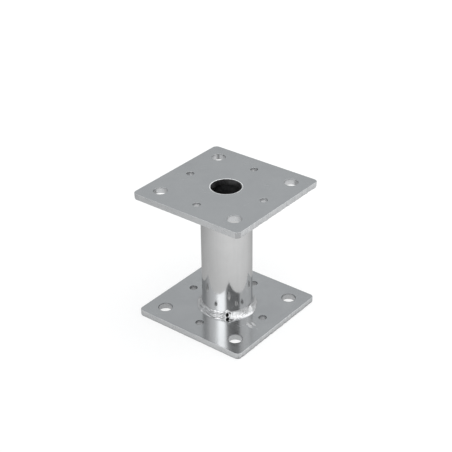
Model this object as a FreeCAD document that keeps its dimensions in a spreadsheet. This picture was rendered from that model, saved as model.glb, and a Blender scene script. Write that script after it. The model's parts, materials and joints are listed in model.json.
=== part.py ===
import FreeCAD, Part
import math
import os
import re
import Sketcher
from FreeCAD import Vector

# A welded post base: two square plates of one pattern, a round tube that stands between them, and a
# rippled fillet weld round each end of the tube. Millimetres, +Z up from the middle of the underside.
# Each piece is drawn upwards from z = 0 in a body of its own, which is then set at its height. A plate
# is drawn with its outer face at z = 0, and a weld with its seat on the plate there, so the top plate
# and the top weld are the base ones turned over.

# The driving dimensions, in millimetres or degrees: the name, the value and what it sets.
SIZES = (
    ("plate_side", 100, "side of each square plate"),
    ("plate_thickness", 5, "thickness of each plate"),
    ("plate_corner_radius", 4, "rounding of a plate's four corners, seen from above"),
    ("plate_edge_break", 0.4, "chamfer that breaks a plate's outline at both faces"),
    ("hole_margin", 15, "from a plate's edge to the line of hole centres beside it"),
    ("bolt_hole_diameter", 11, "hole in each corner, for an anchor or a coach bolt"),
    ("screw_hole_diameter", 6, "hole at the middle of each side, for a wood screw"),
    ("drain_hole_diameter", 24, "hole in the middle of a plate, which opens into the tube"),
    ("drain_hole_chamfer", 0.6, "chamfer of that hole on the plate's outer face"),
    ("tube_diameter", 40, "outside of the tube"),
    ("tube_wall", 3, "wall of the tube"),
    ("tube_height", 100, "length of the tube, which is the gap between the plates"),
    ("weld_leg", 5, "height of a weld on the tube, and its width on the plate"),
    ("weld_crown", 0.95, "bulge of a weld's face past the straight line between its toes"),
    ("ripple_count", 36, "ripples round each weld"),
    ("ripple_length", 5.4, "length of the slope that leads back up from the foot of a step"),
    ("ripple_tilt", 7, "degrees by which that slope climbs, and by which the step leans"),
    ("lump_angle", -52, "degrees from +X to where a weld's run ends over its own start"),
    ("lump_width", 8, "width of the lump there, where it comes out of the weld's face"),
    ("lump_rise", 1.6, "height of the lump above the straight line between the toes"),
    ("crater_width", 2.4, "width of the crater in the lump"),
    ("crater_depth", 0.5, "depth of that crater"),
)
NAMES = {name for name, value, meaning in SIZES}
PLATE_CORNERS = 4

# Places on a weld's section, as expressions of the sizes. Its face is the straight line between its toes.
TUBE_FACE = "(tube_diameter / 2)"
FACE_MIDDLE = f"vector({TUBE_FACE} + weld_leg / 2; weld_leg / 2; 0)"
FACE_HALF = "(weld_leg / sqrt(2))"
FACE_SLOPE = -45


def dome_radius(half_width, rise):
    """The radius of an arc or ball that stands that high on a straight line of twice the half width."""
    return f"((({half_width}) ^ 2 + ({rise}) ^ 2) / (2 * ({rise})))"


FACE_RADIUS = dome_radius(FACE_HALF, "weld_crown")
LUMP_RADIUS = dome_radius("lump_width / 2", "lump_rise")
CRATER_RADIUS = dome_radius("crater_width / 2", "crater_depth")

document = FreeCAD.newDocument("post_base")


def make_sheet():
    """The spreadsheet of driving dimensions, with one named cell in each row."""
    sheet = document.addObject("Spreadsheet::Sheet", "Sizes")
    for row, (name, value, meaning) in enumerate(SIZES, start=1):
        sheet.set(f"A{row}", meaning)
        sheet.set(f"B{row}", str(value))
        sheet.setAlias(f"B{row}", name)
    document.recompute()
    return sheet


sizes = make_sheet()


def formula(text):
    """The expression with each driving dimension's name looked up in the sheet."""
    return re.sub("[a-z_]+", lambda word: f"Sizes.{word[0]}" if word[0] in NAMES else word[0], str(text))


def value_of(text):
    """What such an expression gives now, for drawing a sketch near its solution and for finding edges."""
    return float(sizes.evalExpression(formula(text)))


def bind(thing, path, text):
    """Ties a property to an expression of the driving dimensions."""
    thing.setExpression(path, formula(text))


def new_body(name, height=0, turned_over=False, direction=0):
    """A body at a height, turned over or not, and then turned about +Z."""
    body = document.addObject("PartDesign::Body", name)
    body.Label = name
    roll = 180 if turned_over else 0
    bind(body, "Placement", f"placement(vector(0; 0; {height}); rotation({direction}; 0; {roll}))")
    return body


def origin_item(body, role):
    return next(item for item in body.Origin.OriginFeatures if item.Role == role)


def new_sketch(body, name, plane):
    sketch = body.newObject("Sketcher::SketchObject", name)
    sketch.AttachmentSupport = [(origin_item(body, plane), "")]
    sketch.MapMode = "FlatFace"
    return sketch


def constrain(sketch, *definition):
    return sketch.addConstraint(Sketcher.Constraint(*definition))


def dimension(sketch, name, text, *definition):
    """A named dimension of a sketch, tied to an expression."""
    number = constrain(sketch, *definition, value_of(text))
    sketch.renameConstraint(number, name)
    bind(sketch, f"Constraints.{name}", text)


def draw_circle(sketch, name, diameter, x=0, y=0):
    """A circle whose centre lies at x and y, or on an axis of the sketch where one of them is 0."""
    centre = Vector(value_of(x), value_of(y), 0)
    circle = sketch.addGeometry(Part.Circle(centre, Vector(0, 0, 1), value_of(diameter) / 2))
    dimension(sketch, f"{name}_diameter", diameter, "Diameter", circle)
    for kind, place, axis in (("DistanceX", x, -2), ("DistanceY", y, -1)):
        if place == 0:
            constrain(sketch, "PointOnObject", circle, 3, axis)
        else:
            dimension(sketch, f"{name}_{kind}", place, kind, -1, 1, circle, 3)


def arc_between(start, end, radius):
    """An arc that runs counterclockwise and bulges to the right of the way from start to end."""
    way = end - start
    left = Vector(-way.y, way.x, 0).normalize()
    centre = (start + end) / 2 + left * math.sqrt(radius**2 - (way.Length / 2) ** 2)
    first, last = (math.atan2(point.y - centre.y, point.x - centre.x) for point in (start, end))
    return Part.ArcOfCircle(Part.Circle(centre, Vector(0, 0, 1), radius), first, last)


def draw_outline(sketch, corners, arc_radius=None):
    """An outline through corners given as pairs of expressions.

    Its sides are straight, but where a radius is given, the last one is an arc that bulges to the right.
    """
    places = [Vector(value_of(x), value_of(y), 0) for x, y in corners]
    ways = list(zip(places, places[1:] + places[:1]))
    sides = [Part.LineSegment(start, end) for start, end in ways]
    if arc_radius:
        sides[-1] = arc_between(*ways[-1], value_of(arc_radius))
    numbers = [sketch.addGeometry(side) for side in sides]
    for number, following in zip(numbers, numbers[1:] + numbers[:1]):
        constrain(sketch, "Coincident", number, 2, following, 1)
    for number, (x, y) in zip(numbers, corners):
        dimension(sketch, f"corner_{number}_x", x, "DistanceX", -1, 1, number, 1)
        dimension(sketch, f"corner_{number}_y", y, "DistanceY", -1, 1, number, 1)
    if arc_radius:
        dimension(sketch, "arc_radius", arc_radius, "Radius", numbers[-1])


def feature_of(body, kind, name, sketch):
    feature = body.newObject(f"PartDesign::{kind}", name)
    feature.Profile = sketch
    return feature


def pad(body, name, sketch, length):
    feature = feature_of(body, "Pad", name, sketch)
    bind(feature, "Length", length)
    return feature


def drill(body, name, sketch):
    """A hole right through, cut upwards from z = 0."""
    feature = feature_of(body, "Pocket", name, sketch)
    feature.Type = "ThroughAll"
    feature.Reversed = True
    return feature


def spin(body, kind, name, sketch):
    """A sketch turned once about the body's Z axis: a Revolution adds, and a Groove takes away."""
    feature = feature_of(body, kind, name, sketch)
    feature.ReferenceAxis = (origin_item(body, "Z_Axis"), [""])
    feature.Angle = 360
    return feature


def repeat_round(body, name, originals, count):
    """Equal copies of features round the body's own Z axis."""
    feature = body.newObject("PartDesign::PolarPattern", name)
    feature.Originals = originals
    feature.Axis = (origin_item(body, "Z_Axis"), [""])
    feature.Angle = 360
    bind(feature, "Occurrences", count)
    body.Tip = feature
    return feature


def dress_edges(body, kind, name, base, chosen, path, width):
    """A Fillet or Chamfer on the edges of a feature that a test chooses."""
    document.recompute()
    numbers = [number for number, edge in enumerate(base.Shape.Edges, start=1) if chosen(edge)]
    feature = body.newObject(f"PartDesign::{kind}", name)
    feature.Base = (base, [f"Edge{number}" for number in numbers])
    bind(feature, path, width)
    return feature


def is_upright(edge):
    return edge.BoundBox.ZLength > value_of("plate_thickness / 2")


def is_level(edge):
    return not is_upright(edge)


def is_drain_rim(edge):
    """Whether this is the circle where the drain hole meets the plate's outer face."""
    box = edge.BoundBox
    at_middle = box.Center.Length < value_of("plate_thickness / 2")
    return at_middle and abs(box.XLength / value_of("drain_hole_diameter") - 1) < 0.01


def make_plate(name, height=0, turned_over=False):
    """A square plate with rounded corners, holes in its corners and at mid side, and a drain hole."""
    body = new_body(name, height, turned_over)
    far, near = "plate_side / 2", "-plate_side / 2"
    outline = new_sketch(body, f"{name}_outline", "XY_Plane")
    draw_outline(outline, [(near, near), (far, near), (far, far), (near, far)])
    blank = pad(body, f"{name}_blank", outline, "plate_thickness")
    corners = dress_edges(
        body, "Fillet", f"{name}_corners", blank, is_upright, "Radius", "plate_corner_radius"
    )
    dress_edges(body, "Chamfer", f"{name}_edges", corners, is_level, "Size", "plate_edge_break")

    hole_line = "plate_side / 2 - hole_margin"
    drain = new_sketch(body, f"{name}_drain_circle", "XY_Plane")
    draw_circle(drain, "drain", "drain_hole_diameter")
    drill(body, f"{name}_drain_hole", drain)
    bolt = new_sketch(body, f"{name}_bolt_circle", "XY_Plane")
    draw_circle(bolt, "bolt", "bolt_hole_diameter", hole_line, hole_line)
    screw = new_sketch(body, f"{name}_screw_circle", "XY_Plane")
    draw_circle(screw, "screw", "screw_hole_diameter", hole_line)
    holes = [drill(body, f"{name}_bolt_hole", bolt), drill(body, f"{name}_screw_hole", screw)]
    drilled = repeat_round(body, f"{name}_holes", holes, PLATE_CORNERS)
    body.Tip = dress_edges(
        body, "Chamfer", f"{name}_drain_chamfer", drilled, is_drain_rim, "Size", "drain_hole_chamfer"
    )
    return body


def make_tube():
    """The tube, cut square at both ends."""
    body = new_body("tube", "plate_thickness")
    section = new_sketch(body, "tube_section", "XY_Plane")
    draw_circle(section, "outside", "tube_diameter")
    draw_circle(section, "inside", "tube_diameter - 2 * tube_wall")
    body.Tip = pad(body, "tube_pad", section, "tube_height")
    return body


def on_face(x=0, y=0, z=0, roll=0):
    """An attachment on a weld's section, with X along the weld's face and Y square to it, outwards."""
    face = f"placement({FACE_MIDDLE}; rotation({FACE_SLOPE}; 0; 0))"
    return f"{face} * placement(vector({x}; {y}; {z}); rotation(0; 0; {roll}))"


def add_run(body, name):
    """The even weld before it's rippled: its section, with a bulging face, turned round the tube."""
    section = new_sketch(body, f"{name}_section", "XZ_Plane")
    corners = [(TUBE_FACE, "weld_leg"), (TUBE_FACE, 0), (f"{TUBE_FACE} + weld_leg", 0)]
    draw_outline(section, corners, FACE_RADIUS)
    return spin(body, "Revolution", name, section)


def cut_ripple(body, name):
    """The step at the edge of one ripple, and the slope that leads from its foot back up to the crown.

    The sketch leans with the step. It covers all that stands above the slope, which it's cut along.
    """
    step = new_sketch(body, f"{name}_step", "XZ_Plane")
    bind(step, "AttachmentOffset", on_face(z="ripple_length / 2", roll="ripple_tilt"))
    depth = "ripple_length * sin(ripple_tilt)"
    side = f"({FACE_HALF} + {depth})"
    foot = f"weld_crown - {depth} - {FACE_RADIUS} + sqrt({FACE_RADIUS} ^ 2 - {side} ^ 2)"
    clear = "2 * weld_crown"
    corners = [(f"-{side}", foot), (f"-{side}", clear), (side, clear), (side, foot)]
    draw_outline(step, corners, FACE_RADIUS)
    ripple = feature_of(body, "Pocket", name, step)
    bind(ripple, "Length", "ripple_length")
    return ripple


def add_ball(body, kind, name, radius, height):
    """A ball added to the weld or taken out of it, with its middle at a height above the weld's face."""
    ball = body.newObject(f"PartDesign::{kind}Sphere", name)
    ball.AttachmentSupport = [(origin_item(body, "XZ_Plane"), "")]
    ball.MapMode = "FlatFace"
    bind(ball, "AttachmentOffset", on_face(y=height))
    bind(ball, "Radius", radius)


def trim_to_seats(body, name):
    """Takes away all that reaches into the tube or into the plate below it."""
    section = new_sketch(body, f"{name}_section", "XZ_Plane")
    past = f"2 * {LUMP_RADIUS}"
    out = f"{TUBE_FACE} + {past}"
    in_plate = [(0, f"-{past}"), (out, f"-{past}"), (out, 0)]
    in_tube = [(TUBE_FACE, 0), (TUBE_FACE, past), (0, past)]
    draw_outline(section, in_plate + in_tube)
    return spin(body, "Groove", name, section)


def make_weld(name, height, turned_over=False):
    """A rippled fillet weld, with a lump and a crater where its run ends over its own start."""
    body = new_body(name, height, turned_over, "lump_angle")
    add_run(body, f"{name}_run")
    ripple = cut_ripple(body, f"{name}_ripple")
    repeat_round(body, f"{name}_ripples", [ripple], "ripple_count")
    add_ball(body, "Additive", f"{name}_lump", LUMP_RADIUS, f"lump_rise - {LUMP_RADIUS}")
    crater_middle = f"lump_rise - crater_depth + {CRATER_RADIUS}"
    add_ball(body, "Subtractive", f"{name}_crater", CRATER_RADIUS, crater_middle)
    body.Tip = trim_to_seats(body, f"{name}_trim")
    return body


def check_features():
    """Stops if a feature failed, or if one that should take material away took none."""
    for item in document.Objects:
        if {"Invalid", "Error"} & set(item.State):
            raise RuntimeError(f"{item.Name} failed")
        if item.TypeId in ("PartDesign::Pocket", "PartDesign::Groove", "PartDesign::SubtractiveSphere"):
            if item.Shape.Volume >= item.BaseFeature.Shape.Volume:
                raise RuntimeError(f"{item.Name} takes nothing away")


def write_parts(bodies):
    os.makedirs("parts", exist_ok=True)
    for body in bodies:
        if body.Shape.isNull() or not body.Shape.isValid() or len(body.Shape.Solids) != 1:
            raise RuntimeError(f"{body.Label} isn't one sound solid")
        body.Shape.exportStep(f"parts/{body.Label}.step")


tube_top = "plate_thickness + tube_height"
bodies = [
    make_plate("base_plate"),
    make_weld("base_weld", "plate_thickness"),
    make_tube(),
    make_weld("top_weld", tube_top, turned_over=True),
    make_plate("top_plate", f"{tube_top} + plate_thickness", turned_over=True),
]
document.recompute()
check_features()
write_parts(bodies)
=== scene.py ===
import json
import math

import bmesh
import bpy
from mathutils import Matrix, Vector, noise


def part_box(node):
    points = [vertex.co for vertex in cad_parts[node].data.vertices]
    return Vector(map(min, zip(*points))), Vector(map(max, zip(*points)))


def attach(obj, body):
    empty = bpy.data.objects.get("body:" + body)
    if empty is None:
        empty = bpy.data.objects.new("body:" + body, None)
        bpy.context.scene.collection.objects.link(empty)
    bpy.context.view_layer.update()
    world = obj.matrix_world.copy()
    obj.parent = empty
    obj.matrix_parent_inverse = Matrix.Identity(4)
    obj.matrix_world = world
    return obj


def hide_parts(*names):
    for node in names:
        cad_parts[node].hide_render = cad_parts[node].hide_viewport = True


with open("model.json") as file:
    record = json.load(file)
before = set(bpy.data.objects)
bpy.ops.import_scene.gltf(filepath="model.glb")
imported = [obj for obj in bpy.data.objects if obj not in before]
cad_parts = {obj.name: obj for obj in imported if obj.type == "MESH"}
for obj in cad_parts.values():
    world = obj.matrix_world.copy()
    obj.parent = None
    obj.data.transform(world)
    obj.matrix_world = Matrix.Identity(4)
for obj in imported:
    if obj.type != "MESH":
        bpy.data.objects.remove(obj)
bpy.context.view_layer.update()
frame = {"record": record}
MM = 0.001

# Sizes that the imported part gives, in metres.
MOUNTS = {mount["name"]: mount["dims"] for mount in frame["record"]["mounts"]}
BOLT_RADIUS = MOUNTS["top_bolts"]["hole_r_mm"] * MM
BOLT_LINE = MOUNTS["top_bolts"]["spacing_x_mm"] * MM / 2
SCREW_RADIUS = MOUNTS["top_screws"]["hole_r_mm"] * MM
SCREW_LINE = MOUNTS["top_screws"]["pcd_mm"] * MM / 2
DRAIN_RADIUS = MOUNTS["top_drain"]["r_mm"] * MM
PLATE_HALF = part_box("base_plate")[1].x
TUBE_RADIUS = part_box("tube")[1].x
TUBE_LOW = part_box("tube")[0].z
TUBE_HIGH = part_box("tube")[1].z

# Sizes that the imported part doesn't state, in metres.
CORNER_RADIUS = 4 * MM
TUBE_WALL = 3 * MM


# Node trees

class Wire:
    """A node's output. Arithmetic on it makes Math nodes in the same tree."""

    def __init__(self, socket):
        self.socket = socket
        self.tree = socket.id_data

    def __add__(self, other):
        return calc("ADD", self, other)

    def __sub__(self, other):
        return calc("SUBTRACT", self, other)

    def __rsub__(self, other):
        return calc("SUBTRACT", other, self)

    def __mul__(self, other):
        return calc("MULTIPLY", self, other)

    def __truediv__(self, other):
        return calc("DIVIDE", self, other)

    def __rtruediv__(self, other):
        return calc("DIVIDE", other, self)

    def __pow__(self, other):
        return calc("POWER", self, other)


def fill(node, inputs):
    """Puts values or wires on a node's inputs."""
    for key, value in inputs.items():
        if isinstance(value, Wire):
            value.tree.links.new(value.socket, node.inputs[key])
        else:
            node.inputs[key].default_value = value


def add(tree, kind, settings=None, inputs=None):
    """A new node with its settings, and with values or wires on its inputs."""
    node = tree.nodes.new(kind)
    for name, value in (settings or {}).items():
        setattr(node, name, value)
    fill(node, inputs or {})
    return node


def wire(tree, kind, settings=None, inputs=None, output=0):
    """One output of a new node."""
    return Wire(add(tree, kind, settings, inputs).outputs[output])


def wires(node):
    """All outputs of a node, by their names."""
    return {socket.name: Wire(socket) for socket in node.outputs}


def calc(operation, *values, clamp=False):
    """A Math node's result, from values of which at least one is a wire."""
    tree = next(value.tree for value in values if isinstance(value, Wire))
    settings = {"operation": operation, "use_clamp": clamp}
    return wire(tree, "ShaderNodeMath", settings, dict(enumerate(values)))


def highest(first, *others):
    """The largest of several values, of which the first is a wire."""
    for other in others:
        first = calc("MAXIMUM", first, other)
    return first


def hypotenuse(first, second):
    """The length of a line from its two shares, each along an axis."""
    return calc("SQRT", first * first + second * second)


def ramp(value, low, high, to_low=0.0, to_high=1.0, smooth=True):
    """A value mapped from one range to another, with nothing past its ends."""
    kind = "SMOOTHSTEP" if smooth else "LINEAR"
    inputs = {"Value": value, "From Min": low, "From Max": high, "To Min": to_low, "To Max": to_high}
    return wire(value.tree, "ShaderNodeMapRange", {"interpolation_type": kind}, inputs)


def noise_at(vector, scale, detail=2.0, rough=0.5, warp=0.0):
    """Smooth random values from 0 to 1 over a surface."""
    inputs = {"Vector": vector, "Scale": scale, "Detail": detail, "Roughness": rough, "Distortion": warp}
    return wire(vector.tree, "ShaderNodeTexNoise", {"noise_dimensions": "3D"}, inputs, "Fac")


def stretched(vector, scale):
    """Coordinates multiplied along each axis: a small number draws a pattern out along its axis."""
    inputs = {"Vector": vector, "Scale": scale}
    return wire(vector.tree, "ShaderNodeMapping", {"vector_type": "POINT"}, inputs)


def separate(vector):
    """The X, Y and Z of a vector."""
    return wires(add(vector.tree, "ShaderNodeSeparateXYZ", {}, {0: vector}))


def combine(tree, x, y, z):
    """A vector of three numbers."""
    return wire(tree, "ShaderNodeCombineXYZ", {}, {0: x, 1: y, 2: z})


def blend_colours(mask, low, high):
    """A colour between two, which are wires or have three numbers each."""
    first, second = [colour if isinstance(colour, Wire) else (*colour, 1.0) for colour in (low, high)]
    # For colours, a Mix node's factor is input 0, its two colours are 6 and 7, and its result is output 2.
    inputs = {0: mask, 6: first, 7: second}
    return wire(mask.tree, "ShaderNodeMix", {"data_type": "RGBA"}, inputs, 2)


def bump(height, distance, normal=None):
    """The normal of a surface that stands up by a distance where the height is 1."""
    inputs = {"Height": height, "Distance": distance, "Strength": 1.0}
    if normal:
        inputs["Normal"] = normal
    return wire(height.tree, "ShaderNodeBump", {}, inputs)


def attribute(tree, name):
    """What the points of a piece store under a name."""
    return wire(tree, "ShaderNodeAttribute", {"attribute_name": name}, {}, "Fac")


def new_group(name, tree_type, inputs, outputs):
    """An empty node group with named sockets, its input wires and its output node."""
    group = bpy.data.node_groups.new(name, tree_type)
    for socket, kind, default in inputs:
        item = group.interface.new_socket(socket, in_out="INPUT", socket_type=kind)
        if default is not None:
            item.default_value = default
    for socket, kind in outputs:
        group.interface.new_socket(socket, in_out="OUTPUT", socket_type=kind)
    return group, wires(group.nodes.new("NodeGroupInput")), group.nodes.new("NodeGroupOutput")


# Effects that several finishes share

def new_effect(name, size_name, size, outputs):
    """An empty shader group that takes coordinates and one size, in metres."""
    inputs = [("Vector", "NodeSocketVector", None), (size_name, "NodeSocketFloat", size)]
    outputs = [(output, "NodeSocketFloat") for output in outputs]
    return new_group(name, "ShaderNodeTree", inputs, outputs)


def make_clouds_group():
    """Soft, uneven patches of plating: a mask from 0 to 1."""
    group, given, result = new_effect("plating_clouds", "Patch Size", 0.02, ["Mask"])
    scale = 1.0 / given["Patch Size"]
    broad = noise_at(given["Vector"], scale, 3.0, 0.55, 0.4)
    fine = noise_at(given["Vector"], scale * 5.3)
    fill(result, {"Mask": ramp(broad * 0.72 + fine * 0.28, 0.33, 0.67)})
    return group


def make_lines_group():
    """Fine parallel lines, as rolling, drawing or shearing leave them: a height and a mask.

    The coordinates are stretched before they come in, and the lines run the way they were drawn out.
    """
    group, given, result = new_effect("drawn_lines", "Line Width", 0.0006, ["Height", "Mask"])
    height = noise_at(given["Vector"], 1.0 / given["Line Width"], 3.0, 0.6)
    fill(result, {"Height": height, "Mask": ramp(height, 0.35, 0.65)})
    return group


def make_scuffs_group():
    """Sparse short scratches from handling: a mask from 0 to 1."""
    group, given, result = new_effect("handling_scuffs", "Spacing", 0.012, ["Mask"])
    scale = 1.0 / given["Spacing"]
    slant = {"Vector": given["Vector"], "Rotation": (0, 0, 0.6), "Scale": (1.0, 14.0, 1.0)}
    lines = noise_at(wire(group, "ShaderNodeMapping", {}, slant), scale * 1.5, 2.0, 0.6)
    patches = noise_at(given["Vector"], scale, 1.0)
    fill(result, {"Mask": ramp(lines, 0.66, 0.72) * ramp(patches, 0.52, 0.62)})
    return group


CLOUDS = make_clouds_group()
LINES = make_lines_group()
SCUFFS = make_scuffs_group()


def use_effect(group, vector, **size):
    """The outputs of a shared effect, with its size under the size's name."""
    named = {name.replace("_", " "): value for name, value in size.items()}
    return wires(add(vector.tree, "ShaderNodeGroup", {"node_tree": group}, {"Vector": vector, **named}))


def clouds_of(vector, patch_size):
    return use_effect(CLOUDS, vector, Patch_Size=patch_size)["Mask"]


# Finishes

# Two scrapes on the base plate beside the weld: X and Y of the middle, half length, half width, in mm.
SCRAPES = ((33.2, -14.6, 5.4, 2.0), (34.6, -11.4, 4.0, 1.4))
SCRAPE_SLANT = math.radians(-22)


def new_finish(name):
    """A material with only its Principled BSDF, and the Object coordinates of what it's on."""
    material = bpy.data.materials.new(name)
    material.use_nodes = True
    place = wire(material.node_tree, "ShaderNodeTexCoord", output="Object")
    return material, material.node_tree.nodes["Principled BSDF"], place


def scrape_at(place, x, y, half_length, half_width):
    """A short scrape on a plate, with its middle and half sizes in millimetres: a mask from 0 to 1."""
    spot = {
        "Location": (x * MM, y * MM, 0),
        "Rotation": (0, 0, SCRAPE_SLANT),
        "Scale": (half_length * MM, half_width * MM, 1),
    }
    local = wire(place.tree, "ShaderNodeMapping", {"vector_type": "TEXTURE"}, {"Vector": place, **spot})
    away = wire(place.tree, "ShaderNodeVectorMath", {"operation": "LENGTH"}, {0: local}, "Value")
    return ramp(away, 0.40, 1.0, 1.0, 0.0) * ramp(noise_at(local, 1.8), 0.25, 0.60)


def finish_rolled_zinc():
    """Bright zinc on flat rolled steel: nearly a mirror, with faint rolling lines and cloudy patches."""
    material, shader, place = new_finish("rolled_zinc")
    clouds = clouds_of(place, 0.035)
    rolling = use_effect(LINES, stretched(place, (0.05, 1.0, 1.0)), Line_Width=0.0011)
    scuffs = use_effect(SCUFFS, place, Spacing=0.016)["Mask"]
    scraped = highest(*(scrape_at(place, *scrape) for scrape in SCRAPES))
    scraped = scraped * attribute(place.tree, "near_weld")
    colour = blend_colours(clouds, (0.565, 0.575, 0.585), (0.60, 0.61, 0.618))
    colour = blend_colours(scraped, colour, (0.86, 0.86, 0.86))
    rough = ramp(clouds, 0.0, 1.0, 0.13, 0.18, smooth=False)
    rough = rough + scraped * 0.25 + scuffs * 0.12 + rolling["Mask"] * 0.02
    normal = bump(rolling["Height"], 0.0000025)
    normal = bump(noise_at(place, 260.0), 0.000004, normal)
    fill(shader, {"Base Color": colour, "Roughness": rough, "Normal": normal, "Metallic": 1.0})
    return material


def finish_cut_zinc():
    """Zinc over the plates' walls: upright striations where sheared, and painted shade on the rims of
    holes.
    """
    material, shader, place = new_finish("cut_zinc")
    sheared = attribute(place.tree, "sheared")
    clouds = clouds_of(place, 0.006)
    upright = use_effect(LINES, stretched(place, (1.0, 1.0, 0.12)), Line_Width=0.0008)
    smooth = blend_colours(clouds, (0.56, 0.57, 0.58), (0.61, 0.615, 0.62))
    streaked = blend_colours(upright["Mask"], (0.50, 0.51, 0.52), (0.64, 0.645, 0.65))
    colour = blend_colours(sheared, smooth, streaked)
    # Painted shade: the rolled rims of holes are darkened nearly to black. The same attribute darkens the
    # walls at the top plate's nearest corner.
    colour = blend_colours(attribute(place.tree, "rim"), colour, (0.09, 0.09, 0.095))
    rough = ramp(clouds, 0.0, 1.0, 0.24, 0.38, smooth=False)
    normal = bump(upright["Height"] * ramp(sheared, 0.0, 1.0, 0.12, 1.0), 0.00009)
    normal = bump(noise_at(place, 420.0), 0.00004, normal)
    fill(shader, {"Base Color": colour, "Roughness": rough, "Normal": normal, "Metallic": 1.0})
    return material


def finish_drawn_zinc():
    """Bright zinc on the tube: lines along its length and a slow unevenness in its wall."""
    material, shader, place = new_finish("drawn_zinc")
    clouds = clouds_of(place, 0.02)
    drawn = use_effect(LINES, stretched(place, (1.0, 1.0, 0.03)), Line_Width=0.0012)
    uneven = drawn["Mask"] * 0.4 + clouds * 0.6
    colour = blend_colours(uneven, (0.565, 0.565, 0.565), (0.608, 0.608, 0.608))
    rough = ramp(clouds, 0.0, 1.0, 0.08, 0.14, smooth=False)
    normal = bump(drawn["Height"], 0.0000018)
    normal = bump(noise_at(stretched(place, (1.0, 1.0, 0.4)), 90.0, 1.0), 0.00004, normal)
    fill(shader, {"Base Color": colour, "Roughness": rough, "Normal": normal, "Metallic": 1.0})
    fill(shader, {"Specular Tint": (0.75, 0.75, 0.75, 1.0)})
    return material


def finish_dull_bore():
    """The drain hole's wall and the tube's inside, which plating hardly reaches."""
    material, shader, place = new_finish("dull_bore")
    clouds = clouds_of(place, 0.012)
    colour = blend_colours(clouds, (0.37, 0.37, 0.375), (0.49, 0.49, 0.495))
    rough = ramp(clouds, 0.0, 1.0, 0.28, 0.42, smooth=False)
    normal = bump(noise_at(place, 900.0, 3.0, 0.6), 0.00006)
    fill(shader, {"Base Color": colour, "Roughness": rough, "Normal": normal, "Metallic": 1.0})
    return material


def finish_ring_highlight():
    """The ring round a drain hole: matt, and light in colour, a painted highlight on the hole's rim."""
    material, shader, place = new_finish("ring_highlight")
    clouds = clouds_of(place, 0.003)
    # Painted highlight: the ring's light colour stands in for light caught on the hole's rim.
    colour = blend_colours(clouds, (0.74, 0.745, 0.75), (0.84, 0.845, 0.85))
    rough = ramp(clouds, 0.0, 1.0, 0.48, 0.60, smooth=False)
    normal = bump(noise_at(place, 700.0), 0.00002)
    fill(shader, {"Base Color": colour, "Roughness": rough, "Normal": normal, "Metallic": 1.0})
    return material


def finish_weld_zinc():
    """Zinc over weld metal: bright where the bead is flat, frosted where it's full and lighter there,
    partly painted light on the bead's lit side, and near black in the pits of its end crater."""
    material, shader, place = new_finish("weld_zinc")
    pit = attribute(place.tree, "pit")
    full = attribute(place.tree, "full")
    clouds = clouds_of(place, 0.004)
    flat = blend_colours(clouds, (0.56, 0.565, 0.57), (0.68, 0.68, 0.685))
    # Partly painted light: the frosted stretch is rougher, and its lighter colour stands in for light on
    # the bead's lit side.
    frosted_and_lit = blend_colours(clouds, (0.74, 0.745, 0.75), (0.84, 0.84, 0.845))
    colour = blend_colours(full, flat, frosted_and_lit)
    # The pits are coloured near black, with little shine.
    colour = blend_colours(pit, colour, (0.004, 0.004, 0.004))
    rough = ramp(clouds, 0.0, 1.0, 0.14, 0.27, smooth=False)
    rough = calc("ADD", rough + full * 0.11, pit * 0.5, clamp=True)
    normal = bump(noise_at(place, 1100.0, 3.0, 0.55), 0.00005)
    fill(shader, {"Base Color": colour, "Roughness": rough, "Normal": normal})
    fill(shader, {"Metallic": ramp(pit, 0.2, 0.8, 1.0, 0.1)})
    fill(shader, {"Specular IOR Level": ramp(pit, 0.2, 0.8, 0.5, 0.05)})
    return material


ROLLED_ZINC = finish_rolled_zinc()
CUT_ZINC = finish_cut_zinc()
DRAWN_ZINC = finish_drawn_zinc()
DULL_BORE = finish_dull_bore()
RING_HIGHLIGHT = finish_ring_highlight()
WELD_ZINC = finish_weld_zinc()


# Pieces

def new_object(name, data):
    """An object in the scene, at the origin."""
    piece = bpy.data.objects.new(name, data)
    bpy.context.scene.collection.objects.link(piece)
    return piece


def new_piece(name, mesh, materials):
    """An object of a closed bmesh, with its faces turned outwards."""
    bmesh.ops.recalc_face_normals(mesh, faces=mesh.faces)
    data = bpy.data.meshes.new(name)
    mesh.to_mesh(data)
    mesh.free()
    for material in materials:
        data.materials.append(material)
    return new_object(name, data)


# Plates

PLATE_FINISHES = [ROLLED_ZINC, CUT_ZINC, DULL_BORE, RING_HIGHLIGHT]
FLAT_SLOT, CUT_SLOT, BORE_SLOT, RING_SLOT = range(4)

# How edges are rolled over, at the outline's upper and lower face and at a hole's lower face.
OUTLINE_EDGES = 0.40 * MM, 0.25 * MM
HOLE_LOWER_EDGE = 0.20 * MM

# How far a wall wanders into the metal at its lower face.
SHEARED_WANDER = 0.85 * MM
PUNCHED_WANDER = 0.10 * MM

# How far the darker mark on the top plate's corner reaches, and how dark it is.
DARK_CORNER_REACH = 3.2 * MM
DARK_CORNER = 0.35

# The spacing of points along the outline, and how many there are round each hole.
OUTLINE_STEP = 0.5 * MM
BOLT_HOLE_STEPS, SCREW_HOLE_STEPS, DRAIN_HOLE_STEPS = 96, 64, 160


def rounded_square(half, radius, step):
    """Points round a square with rounded corners, each with its inward direction."""
    points = []
    straight = half - radius
    count = round(2 * straight / step)
    corner_steps = 12
    for quarter in range(4):
        turn = Matrix.Rotation(math.radians(90 * quarter), 2)
        for i in range(count):
            along = straight - 2 * straight * i / count
            points.append((turn @ Vector((half, -along)), turn @ Vector((-1, 0))))
        for i in range(corner_steps):
            angle = math.radians(90) * i / corner_steps
            out = Vector((math.cos(angle), math.sin(angle)))
            points.append((turn @ (Vector((straight, straight)) + out * radius), turn @ -out))
    return points


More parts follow.
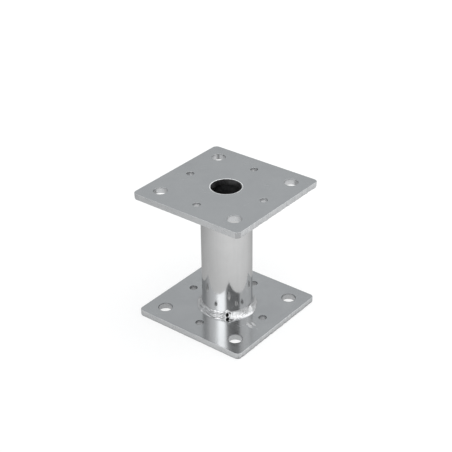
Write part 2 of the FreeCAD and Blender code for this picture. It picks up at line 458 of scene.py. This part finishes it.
def circle(centre, radius, count):
    """Points round a hole, each with the direction from the hole into the metal."""
    points = []
    for i in range(count):
        angle = 2 * math.pi * i / count
        out = Vector((math.cos(angle), math.sin(angle)))
        points.append((Vector(centre) + out * radius, out))
    return points


def roll_over(radius, steps):
    """Pairs of how far into the metal and how far below the face, round an edge."""
    angles = [math.radians(90) * i / steps for i in range(steps + 1)]
    return [(radius * (1 - math.sin(angle)), radius * (1 - math.cos(angle))) for angle in angles]


def wall_levels(thickness, top_radius, bottom_radius, wander):
    """The wall from the upper face down: (into the metal, height, how far it wanders there)."""
    levels = [(inset, thickness - drop, 0.0) for inset, drop in roll_over(top_radius, 4)]
    straight = thickness - top_radius - bottom_radius
    for share in (0.75, 0.5, 0.25):
        levels.append((0.0, bottom_radius + straight * share, wander * (1 - share) * 0.4))
    levels += [(inset, drop, wander) for inset, drop in reversed(roll_over(bottom_radius, 3))]
    return levels


def edge_noise(point, size, seed):
    """A smooth random value from 0 to 1 that changes along an edge."""
    value = noise.noise(Vector((point.x / size, point.y / size, seed)))
    return min(max(0.5 + 0.9 * value, 0.0), 1.0)


def ring_edges(mesh, ring):
    return [mesh.edges.get((ring[i], ring[(i + 1) % len(ring)])) for i in range(len(ring))]


def build_wall(mesh, points, levels, low, seed, is_outline=False, rim_shade=0.0, slots=None):
    """The rings of a wall, joined by quads. Gives back its first and last ring.

    Each point stores how far its wall was sheared, and how much painted shade darkens it on the rim of a
    hole. Where the faces have material slots of their own, the edges between them are sharp.
    """
    sheared = mesh.verts.layers.float["sheared"]
    rim = mesh.verts.layers.float["rim"]
    rings = []
    for inset, height, wander in levels:
        ring = []
        for place, inward in points:
            cut_end = abs(inward.x) ** 2 if is_outline else 0.2
            ragged = 0.7 * edge_noise(place, 3.6 * MM, seed) + 0.3 * edge_noise(place, 1.3 * MM, seed + 5)
            waver = wander * (0.15 + 0.85 * cut_end) * ragged
            spot = place + inward * (inset + waver)
            lift = waver if 0 < height < MM else 0.0
            point = mesh.verts.new((spot.x, spot.y, low + height + lift))
            point[sheared] = cut_end
            # Painted shade: the rolled edges of a hole take the plate's rim shade.
            point[rim] = rim_shade if inset > 0 else 0.0
            ring.append(point)
        rings.append(ring)
    for level, (upper, lower) in enumerate(zip(rings, rings[1:])):
        for i, corner in enumerate(upper):
            following = (i + 1) % len(upper)
            face = mesh.faces.new((corner, upper[following], lower[following], lower[i]))
            face.smooth = True
            face.material_index = slots[level] if slots else CUT_SLOT
    for ring in rings[1:-1] if slots else ():
        for edge in ring_edges(mesh, ring):
            edge.smooth = False
    return rings[0], rings[-1]


def build_drain(mesh, thickness, low, ring_face_up):
    """The drain hole's dull wall, with a narrow ring round its rim on one face, light in colour as a
    painted highlight.
    """
    ring_width, ring_depth, plain_edge = 0.85 * MM, 0.10 * MM, 0.15 * MM
    bright, plain = (ring_width, ring_depth), (plain_edge, plain_edge)
    above, below = (bright, plain) if ring_face_up else (plain, bright)
    levels = [
        (above[0], thickness, 0.0),
        (0.0, thickness - above[1], 0.0),
        (0.0, below[1], 0.0),
        (below[0], 0.0, 0.0),
    ]
    slots = (RING_SLOT, BORE_SLOT, CUT_SLOT) if ring_face_up else (CUT_SLOT, BORE_SLOT, RING_SLOT)
    return build_wall(mesh, circle((0, 0), DRAIN_RADIUS, DRAIN_HOLE_STEPS), levels, low, 0, slots=slots)


def cap(mesh, rings, normal):
    """Fills the flat face that an outline and its holes bound."""
    edges = [edge for ring in rings for edge in ring_edges(mesh, ring)]
    before = set(mesh.faces)
    bmesh.ops.triangle_fill(mesh, use_beauty=True, use_dissolve=False, edges=edges, normal=normal)
    for face in set(mesh.faces) - before:
        face.smooth = False
        face.material_index = FLAT_SLOT
    for edge in edges:
        edge.smooth = False


def build_walls(mesh, thickness, low, seed, ring_face_up, rim_shade, hole_edge):
    """The walls of a plate's outline and holes: the first and last ring of each."""
    outline_levels = wall_levels(thickness, *OUTLINE_EDGES, SHEARED_WANDER)
    hole_levels = wall_levels(thickness, hole_edge, HOLE_LOWER_EDGE, PUNCHED_WANDER)
    outline = rounded_square(PLATE_HALF, CORNER_RADIUS, OUTLINE_STEP)
    walls = [build_wall(mesh, outline, outline_levels, low, seed, is_outline=True)]
    for i in range(4):
        turn = Matrix.Rotation(math.radians(90 * i), 2)
        bolt_hole = circle(turn @ Vector((BOLT_LINE, BOLT_LINE)), BOLT_RADIUS, BOLT_HOLE_STEPS)
        screw_hole = circle(turn @ Vector((SCREW_LINE, 0)), SCREW_RADIUS, SCREW_HOLE_STEPS)
        walls.append(build_wall(mesh, bolt_hole, hole_levels, low, seed + i, rim_shade=rim_shade))
        walls.append(build_wall(mesh, screw_hole, hole_levels, low, seed + 10 + i, rim_shade=rim_shade))
    walls.append(build_drain(mesh, thickness, low, ring_face_up))
    return walls


def make_plate(name, node, seed, ring_face_up, rim_shade, hole_edge):
    """A plate cut from flat bar: two sheared ends, two mill edges and punched holes.

    The base plate has scrapes by its weld, and the top plate a darker mark on its nearest corner.
    """
    low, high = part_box(node)
    thickness = high.z - low.z
    mesh = bmesh.new()
    for layer in ("sheared", "rim", "near_weld"):
        mesh.verts.layers.float.new(layer)
    walls = build_walls(mesh, thickness, low.z, seed, ring_face_up, rim_shade, hole_edge)
    cap(mesh, [top for top, bottom in walls], (0, 0, 1))
    cap(mesh, [bottom for top, bottom in walls], (0, 0, -1))
    near_weld, rim = mesh.verts.layers.float["near_weld"], mesh.verts.layers.float["rim"]
    for point in mesh.verts:
        on_upper_face = point.co.z > thickness / 2
        point[near_weld] = 1.0 if node == "base_plate" and on_upper_face else 0.0
        from_corner = math.hypot(point.co.x - PLATE_HALF, point.co.y + PLATE_HALF)
        if node == "top_plate" and from_corner < DARK_CORNER_REACH:
            point[rim] = DARK_CORNER
    piece = new_piece(name, mesh, PLATE_FINISHES)
    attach(piece, "root")
    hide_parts(node)


make_plate("base_plate_steel", "base_plate", 11, ring_face_up=False, rim_shade=0.85, hole_edge=0.30 * MM)
make_plate("top_plate_steel", "top_plate", 43, ring_face_up=True, rim_shade=0.18, hole_edge=0.16 * MM)


# Tube

TUBE_STEPS = 256
TUBE_EDGE = 0.15 * MM


def make_tube():
    """The tube, with small breaks at its sawn ends."""
    inside = TUBE_RADIUS - TUBE_WALL
    outer_corners = [
        (TUBE_RADIUS - TUBE_EDGE, TUBE_LOW),
        (TUBE_RADIUS, TUBE_LOW + TUBE_EDGE),
        (TUBE_RADIUS, TUBE_HIGH - TUBE_EDGE),
        (TUBE_RADIUS - TUBE_EDGE, TUBE_HIGH),
    ]
    inner_corners = [
        (inside + TUBE_EDGE, TUBE_HIGH),
        (inside, TUBE_HIGH - TUBE_EDGE),
        (inside, TUBE_LOW + TUBE_EDGE),
        (inside + TUBE_EDGE, TUBE_LOW),
    ]
    mesh = bmesh.new()
    angles = [2 * math.pi * i / TUBE_STEPS for i in range(TUBE_STEPS)]
    rings = []
    for radius, height in outer_corners + inner_corners:
        rings.append([mesh.verts.new((radius * math.cos(a), radius * math.sin(a), height)) for a in angles])
    last_inside = len(rings) - 1
    for level, (ring, following) in enumerate(zip(rings, rings[1:] + rings[:1])):
        for i in range(TUBE_STEPS):
            after = (i + 1) % TUBE_STEPS
            face = mesh.faces.new((ring[i], ring[after], following[after], following[i]))
            face.smooth = True
            face.material_index = 1 if len(outer_corners) <= level < last_inside else 0
    piece = new_piece("tube_wall", mesh, [DRAWN_ZINC, DULL_BORE])
    piece.data.set_sharp_from_angle(angle=math.radians(40))
    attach(piece, "root")
    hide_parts("tube")


make_tube()


# Welds

WELD_INPUTS = [
    ("Geometry", "NodeSocketGeometry", None),
    ("Tube Radius", "NodeSocketFloat", 0.02),
    ("Leg", "NodeSocketFloat", 0.005),
    ("Crown", "NodeSocketFloat", 0.0009),
    ("Ripples", "NodeSocketInt", 60),
    ("Ripple Depth", "NodeSocketFloat", 0.00025),
    ("Bow", "NodeSocketFloat", 0.9),
    ("Start Angle", "NodeSocketFloat", 0.0),
    ("Unevenness", "NodeSocketFloat", 0.0003),
    ("Seed", "NodeSocketFloat", 0.0),
    ("Points Round", "NodeSocketInt", 1440),
    ("Points Across", "NodeSocketInt", 26),
    ("Material", "NodeSocketMaterial", None),
]

# A weld's legs, its length round the middle of its face, the width of that face, and where it starts.
WELD_LEG = 4.9 * MM
WELD_RUN = 2 * math.pi * (TUBE_RADIUS + WELD_LEG / 2)
WELD_FACE = 7.8 * MM
LUMP_ANGLE = math.radians(-52)

# The ring near the middle of the face on which the bead's random values are read.
UNEVEN_RADIUS = 24 * MM
UNEVEN_HEIGHT = 5 * MM

# The pits of a weld's end crater: how far past the lump and how far up the face, half length and half
# width, in mm, and how deep as a share of the deepest.
CRATER_PITS = (
    (0.0, 4.3, 1.5, 1.7, 1.0),
    (0.2, 1.3, 1.5, 1.4, 1.0),
    (2.0, 6.0, 1.5, 0.7, 0.75),
    (3.0, 0.7, 2.2, 0.5, 0.75),
)
PIT_DEPTH = 1.1 * MM


def stored(geometry, name, value):
    """Geometry whose points store a value under a name."""
    settings = {"data_type": "FLOAT", "domain": "POINT"}
    inputs = {"Geometry": geometry, "Name": name, "Value": value}
    return wire(geometry.tree, "GeometryNodeStoreNamedAttribute", settings, inputs)


def read(tree, name):
    return wire(tree, "GeometryNodeInputNamedAttribute", {"data_type": "FLOAT"}, {"Name": name})


def curve_ring(tree, points, radius):
    inputs = {"Resolution": points, "Radius": radius}
    return wire(tree, "GeometryNodeCurvePrimitiveCircle", {"mode": "RADIUS"}, inputs, "Curve")


def swept_ring(tree, given):
    """A ring of weld metal whose points store turn, how far round they are, and rise, how far up.

    Rise goes from 0 at the plate to 1 at the tube, and the one point past it is the weld's root.
    """
    index = wire(tree, "GeometryNodeInputIndex")
    run = curve_ring(tree, given["Points Round"], given["Tube Radius"])
    run = stored(run, "turn", index / given["Points Round"])
    section = curve_ring(tree, given["Points Across"], given["Leg"])
    section = stored(section, "rise", index / (given["Points Across"] - 2.0))
    return wire(tree, "GeometryNodeCurveToMesh", {}, {"Curve": run, "Profile Curve": section})


def full_stretch(turn):
    """1 where the bead is full and round, from its start to a fifth of the way, and 0 elsewhere."""
    return ramp(turn, 0.0, 0.006) * ramp(turn, 0.13, 0.215, 1.0, 0.0)


def end_lump(turn):
    """1 where the run ends over its own start, and 0 from 4.2 mm to either side."""
    from_end = calc("MINIMUM", turn, 1.0 - turn) * WELD_RUN
    return ramp(from_end, 0.0, 4.2 * MM, 1.0, 0.0)


def width_on_plate(turn, full, lump, uneven):
    """The leg on the plate, as a share of the usual one."""
    wider = highest(full, lump) * 0.36
    return ramp(turn, 0.62, 0.86, 0.80, 0.92) + wider + uneven(190.0) * 0.24


def height_on_tube(turn, lump, uneven):
    """The leg on the tube, as a share of the usual one. It's low where the full stretch spreads out."""
    spread_out = ramp(turn, 0.02, 0.13) * ramp(turn, 0.14, 0.21, 1.0, 0.0)
    return lump * 0.42 - spread_out * 0.50 + 0.90 + uneven(230.0) * 0.30


def ripples(turn, rise, full, uneven, given):
    """The height of frozen ripples, which bow across the face and are faint where the bead is flat."""
    across = rise * 2.0 - 1.0
    phase = turn * given["Ripples"] + across * across * given["Bow"] + uneven(420.0) * 1.5
    lobe = calc("FRACT", phase) ** 0.7
    ripple = calc("SINE", lobe * math.pi) ** 0.7
    return (ripple - 0.6) * given["Ripple Depth"] * ramp(full, 0.0, 1.0, 0.18, 1.0)


def dimples(full, uneven, given):
    """The height of the bead's random unevenness, which is less where it's flat."""
    both = uneven(330.0, 2.0) * 2.0 + uneven(880.0) * 0.5
    return both * given["Unevenness"] * ramp(full, 0.0, 1.0, 0.35, 1.2)


def streaks(turn, rise, uneven):
    """The height of thin layers of metal that ran down the left of the face."""
    washed = ramp(turn, 0.70, 0.82) * ramp(turn, 0.975, 0.995, 1.0, 0.0)
    layers = calc("SINE", (rise * 2.3 + uneven(95.0) * 2.6) * (2 * math.pi))
    return (layers + 0.45) * (0.40 * MM) * washed


def crown(rise, full, given):
    """The bulge of the face: hollow where the bead is flat, and sagging where it's full."""
    sag = full * (0.45 - rise * 0.9)
    return given["Crown"] * ramp(full, 0.0, 1.0, -0.85, 0.72) * (sag + 1.0)


def crater(turn, rise):
    """How deep the end crater's pits are: 1 at the deepest, and 0 where there are none."""
    past_lump = (calc("FRACT", turn + 0.5) - 0.5) * WELD_RUN
    up_face = rise * WELD_FACE
    pits = []
    for forward, up, half_length, half_width, depth in CRATER_PITS:
        along = (past_lump - forward * MM) / (half_length * MM)
        across = (up_face - up * MM) / (half_width * MM)
        pits.append(ramp(hypotenuse(along, across), 0.62, 1.0, depth, 0.0))
    return highest(*pits)


def weld_tree():
    """Geometry Nodes for a fillet weld laid once round a tube, which stands on z = 0 of its plate."""
    tree, given, result = new_group(
        "weld_bead", "GeometryNodeTree", WELD_INPUTS, [("Geometry", "NodeSocketGeometry")]
    )
    bead = swept_ring(tree, given)
    turn, rise = read(tree, "turn"), read(tree, "rise")
    angle = turn * (2 * math.pi) + given["Start Angle"]
    along_x, along_y = calc("COSINE", angle), calc("SINE", angle)
    ring_x, ring_y = along_x * UNEVEN_RADIUS, along_y * UNEVEN_RADIUS
    on_run = combine(tree, ring_x, ring_y, rise * UNEVEN_HEIGHT + given["Seed"])

    def uneven(scale, detail=1.0):
        """Random values from -0.5 to 0.5 over the face."""
        return noise_at(on_run, scale, detail) - 0.5

    # How far the face stands past the straight line between its toes. All but the pits fades out there.
    full, lump, pits = full_stretch(turn), end_lump(turn), crater(turn, rise)
    fade = rise * (1.0 - rise) * 4.0
    swell = streaks(turn, rise, uneven) + ripples(turn, rise, full, uneven, given)
    swell = swell + dimples(full, uneven, given) + lump * MM
    swell = swell * fade + crown(rise, full, given) * fade ** 0.7 - pits * PIT_DEPTH
    push = swell * math.sqrt(0.5)

    # The root lies where tube and plate meet, and the other points go out from it and up to the face.
    on_face = 1.0 - calc("GREATER_THAN", rise, 1.0001)
    out = given["Leg"] * width_on_plate(turn, full, lump, uneven) * (1.0 - rise) + push
    up = given["Leg"] * height_on_tube(turn, lump, uneven) * rise + push
    radius = given["Tube Radius"] + highest(out, -0.1 * MM) * on_face
    height = highest(up, 0.0) * on_face
    spot = combine(tree, radius * along_x, radius * along_y, height)

    bead = stored(bead, "pit", pits * on_face)
    bead = stored(bead, "full", full)
    bead = wire(tree, "GeometryNodeSetPosition", {}, {"Geometry": bead, "Position": spot})
    bead = wire(tree, "GeometryNodeSetShadeSmooth", {}, {"Geometry": bead, "Shade Smooth": True})
    bead = wire(tree, "GeometryNodeRealizeInstances", {}, {"Geometry": bead})
    bead = wire(tree, "GeometryNodeSetMaterial", {}, {"Geometry": bead, "Material": given["Material"]})
    fill(result, {"Geometry": bead})
    return tree


WELD_TREE = weld_tree()


def run_tree(tree, name, values, place):
    """The mesh that a Geometry Nodes tree makes with these inputs, as a plain object in its place."""
    maker = new_object(f"{name}_maker", bpy.data.meshes.new(f"{name}_maker"))
    modifier = maker.modifiers.new("bead", "NODES")
    modifier.node_group = tree
    for item in tree.interface.items_tree:
        if item.item_type == "SOCKET" and item.in_out == "INPUT" and item.name in values:
            modifier[item.identifier] = values[item.name]
    depsgraph = bpy.context.evaluated_depsgraph_get()
    data = bpy.data.meshes.new_from_object(maker.evaluated_get(depsgraph), depsgraph=depsgraph)
    bpy.data.objects.remove(maker)
    data.name = name
    data.transform(place)
    mesh = bmesh.new()
    mesh.from_mesh(data)
    bmesh.ops.recalc_face_normals(mesh, faces=mesh.faces)
    mesh.to_mesh(data)
    mesh.free()
    return new_object(name, data)


def make_weld(name, node, place, seed):
    values = {
        "Tube Radius": TUBE_RADIUS,
        "Leg": WELD_LEG,
        "Crown": 0.8 * MM,
        "Ripples": 50,
        "Ripple Depth": 0.25 * MM,
        "Start Angle": LUMP_ANGLE,
        "Unevenness": 0.35 * MM,
        "Seed": seed,
        "Material": WELD_ZINC,
    }
    piece = run_tree(WELD_TREE, name, values, place)
    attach(piece, "root")
    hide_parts(node)


# Turned over, the top weld is also turned about Z, so that both lumps are on one side of the tube.
UPSIDE_DOWN = Matrix.Rotation(2 * LUMP_ANGLE, 4, "Z") @ Matrix.Rotation(math.pi, 4, "X")
make_weld("base_weld_bead", "base_weld", Matrix.Translation((0, 0, TUBE_LOW)), 0.0)
make_weld("top_weld_bead", "top_weld", Matrix.Translation((0, 0, TUBE_HIGH)) @ UPSIDE_DOWN, 0.4)


# Camera

CAMERA_AZIMUTH = math.radians(38.44)
CAMERA_ELEVATION = math.radians(30.3)
CAMERA_ROLL = math.radians(-0.6)
CAMERA_DISTANCE = 0.8646
CAMERA_AIM = (-0.00045, 0.01777)
OBJECT_MIDDLE = Vector((0, 0, 55 * MM))
PHOTO_WIDTH = 452
FOCAL_PIXELS = 1113.5


def looking(azimuth, elevation):
    """Unit vectors from the object towards an azimuth and elevation, and to its right and up."""
    level = math.cos(elevation)
    back = Vector((math.sin(azimuth) * level, -math.cos(azimuth) * level, math.sin(elevation)))
    right = Vector((math.cos(azimuth), math.sin(azimuth), 0))
    return back, right, back.cross(right)


def placed(back, right, up, location):
    """The matrix of something that faces back along its own Z."""
    turned = Matrix((right, up, back)).transposed().to_4x4()
    return Matrix.Translation(location) @ turned


def make_camera():
    back, right, up = looking(CAMERA_AZIMUTH, CAMERA_ELEVATION)
    aim = OBJECT_MIDDLE + right * CAMERA_AIM[0] + up * CAMERA_AIM[1]
    rolled_right = right * math.cos(CAMERA_ROLL) + up * math.sin(CAMERA_ROLL)
    rolled_up = up * math.cos(CAMERA_ROLL) - right * math.sin(CAMERA_ROLL)
    data = bpy.data.cameras.new("camera")
    data.sensor_width = 36
    data.lens = FOCAL_PIXELS / PHOTO_WIDTH * data.sensor_width
    data.clip_start = 0.01
    data.clip_end = 100
    camera = new_object("camera", data)
    camera.matrix_world = placed(back, rolled_right, rolled_up, aim + back * CAMERA_DISTANCE)
    bpy.context.scene.camera = camera


# Studio

def seen_size(distance, degrees):
    """How wide something is that looks that many degrees wide from a distance."""
    return 2 * distance * math.tan(math.radians(degrees / 2))


def make_lamp(name, width, length, radiance, place):
    """A lamp panel that lights from all of its face, and that the camera doesn't see."""
    data = bpy.data.lights.new(name, "AREA")
    data.shape = "RECTANGLE"
    data.size = width
    data.size_y = length
    data.energy = radiance * width * length * math.pi
    lamp = new_object(name, data)
    lamp.matrix_world = place
    lamp.visible_camera = False


def make_softbox(name, azimuth, elevation, width, height, radiance, distance=3.0):
    """A lamp panel seen from the object at an azimuth from the camera, with its size in degrees."""
    back, right, up = looking(CAMERA_AZIMUTH + math.radians(azimuth), math.radians(elevation))
    place = placed(back, right, up, OBJECT_MIDDLE + back * distance)
    make_lamp(name, seen_size(distance, width), seen_size(distance, height), radiance, place)


def make_overhead(name, azimuth, out, width, length, radiance, height=2.4):
    """A lamp panel that hangs level, out from the object towards an azimuth from the camera."""
    turn = CAMERA_AZIMUTH + math.radians(azimuth)
    hung = looking(turn, 0)[0] * out + Vector((0, 0, height))
    make_lamp(name, width, length, radiance, Matrix.Translation(hung) @ Matrix.Rotation(turn, 4, "Z"))


def new_stage_material(name):
    """A material with an empty tree, for what stands round the object."""
    material = bpy.data.materials.new(name)
    material.use_nodes = True
    material.node_tree.nodes.clear()
    place = wire(material.node_tree, "ShaderNodeTexCoord", output="Object")
    return material, material.node_tree, separate(place)


def make_sheet(name, half_x, half_y, material):
    """A flat rectangle round its own origin."""
    data = bpy.data.meshes.new(name)
    corners = [(-half_x, -half_y, 0), (half_x, -half_y, 0), (half_x, half_y, 0), (-half_x, half_y, 0)]
    data.from_pydata(corners, [], [(0, 1, 2, 3)])
    data.materials.append(material)
    return new_object(name, data)


def make_card(name, azimuth, elevation, width, height, levels, fades, distance=2.6):
    """A card that shows only in the metal, at an azimuth from the camera, with its size in degrees.

    It has one level at its left and another at its right. Towards its left, right, lower and upper
    edges it fades away over the given shares of its width or height.
    """
    half_x, half_y = seen_size(distance, width) / 2, seen_size(distance, height) / 2
    material, tree, spot = new_stage_material(name)
    across = ramp(spot["X"], -half_x, half_x, smooth=False)
    upwards = ramp(spot["Y"], -half_y, half_y, smooth=False)
    left, right_side, low, high = fades
    mask = ramp(across, 0.0, left) * ramp(across, 1 - right_side, 1.0, 1.0, 0.0)
    mask = mask * ramp(upwards, 0.0, low) * ramp(upwards, 1 - high, 1.0, 1.0, 0.0)
    level = ramp(across, 0.0, 1.0, *levels, smooth=False)
    glow = wire(tree, "ShaderNodeEmission", {}, {"Color": (0.99, 1.0, 1.01, 1.0), "Strength": level})
    clear = wire(tree, "ShaderNodeBsdfTransparent")
    both = wire(tree, "ShaderNodeMixShader", {}, {0: mask, 1: clear, 2: glow})
    add(tree, "ShaderNodeOutputMaterial", {}, {"Surface": both})
    card = make_sheet(name, half_x, half_y, material)
    back, right, up = looking(CAMERA_AZIMUTH + math.radians(azimuth), math.radians(elevation))
    card.matrix_world = placed(back, right, up, OBJECT_MIDDLE + back * distance)
    card.visible_camera = False
    card.visible_diffuse = False
    card.visible_shadow = False


def outside_painted_shadow(spot):
    """Where the metal sees no painted shadow on the floor: 1 all round the base plate, nearly 1 under its
    holes, 0 under the rest of it.
    """
    across, along = calc("ABSOLUTE", spot["X"]), calc("ABSOLUTE", spot["Y"])
    far, near = highest(across, along), calc("MINIMUM", across, along)
    lit = ramp(far, PLATE_HALF - 2 * MM, PLATE_HALF + 2 * MM)
    holes = ((BOLT_LINE, BOLT_LINE, BOLT_RADIUS, 0.95), (SCREW_LINE, 0.0, SCREW_RADIUS, 0.8))
    for far_line, near_line, radius, level in holes:
        away = hypotenuse(far - far_line, near - near_line)
        lit = highest(lit, ramp(away, radius - MM / 2, radius + MM / 2, level, 0.0))
    return lit


def make_floor():
    """A white floor. Part of its white is only for what looks at it, so that the shadow stays faint.

    The metal sees it with painted shade, a little darker to the left and behind, where the object's
    shadow falls, and with a painted shadow under the base plate.
    """
    material, tree, spot = new_stage_material("white_floor")
    seen = wires(add(tree, "ShaderNodeLightPath"))
    mirrored = calc("ADD", seen["Is Glossy Ray"], seen["Is Transmission Ray"], clamp=True)
    to_lamps = spot["X"] * 0.93 - spot["Y"] * 0.37
    # Painted shade: the glow the metal sees falls off to the left and behind, and a painted shadow darkens
    # it under the base plate.
    glow_with_painted_shade = ramp(to_lamps, -0.13, 0.13, 0.25, 0.62, smooth=False) * outside_painted_shadow(spot)
    to_camera = ramp(hypotenuse(spot["X"], spot["Y"]), 0.25, 1.5, 0.69, 0.98)
    strength = mirrored * glow_with_painted_shade + seen["Is Camera Ray"] * to_camera
    matt = wire(tree, "ShaderNodeBsdfDiffuse", {}, {"Color": (0.36, 0.36, 0.36, 1.0)})
    glow = wire(tree, "ShaderNodeEmission", {}, {"Color": (1, 1, 1, 1), "Strength": strength})
    both = wire(tree, "ShaderNodeAddShader", {}, {0: matt, 1: glow})
    add(tree, "ShaderNodeOutputMaterial", {}, {"Surface": both})
    half = 40.0
    make_sheet("floor", half, half, material)


def make_world():
    """A white sweep behind the floor, and the cool grey room over it that only the metal sees."""
    world = bpy.data.worlds.new("sweep")
    bpy.context.scene.world = world
    world.use_nodes = True
    tree = world.node_tree
    tree.nodes.clear()
    height = separate(wire(tree, "ShaderNodeTexCoord", output="Generated"))["Z"]
    wall = ramp(height, 0.08, 0.53, 0.0, 0.46, smooth=False)
    paler_strip = ramp(height, 0.44, 0.49) * ramp(height, 0.50, 0.535, 0.32, 0.0)
    room = blend_colours(wall + paler_strip, (0.46, 0.467, 0.472), (0.648, 0.667, 0.678))
    by_camera = wire(tree, "ShaderNodeLightPath", output="Is Camera Ray")
    sweep = highest(by_camera, ramp(height, 0.02, 0.07, 1.0, 0.0))
    colour = blend_colours(sweep, room, (1.0, 1.0, 1.0))
    glow = wire(tree, "ShaderNodeBackground", {}, {"Color": colour, "Strength": 1.0})
    add(tree, "ShaderNodeOutputWorld", {}, {"Surface": glow})


make_camera()
make_world()
make_floor()
make_overhead("overhead_softbox", 60, out=0.7, width=4.5, length=3.2, radiance=1.0)

# Each panel's azimuth from the camera, elevation, width and height come first, in degrees.
make_softbox("right_fill", 100, 36, 70, 30, radiance=0.4)
make_card("left_fill", -70, 34, 80, 44, levels=(0.54, 1.8), fades=(0.05, 0.05, 0.15, 0.15), distance=2.8)
make_card("left_panel", -28, 33.5, 48, 26, levels=(2.6, 2.6), fades=(0.36, 0.33, 0.15, 0.15))
make_card("low_panel", 60, 11, 76, 16, levels=(1.35, 1.35), fades=(0.12, 0.15, 0.15, 0.25))
make_card("dark_flag", 24, 33.5, 58, 22, levels=(0.36, 0.20), fades=(0.05, 0.06, 0.15, 0.15))
bpy.context.scene.view_settings.view_transform = "Standard"
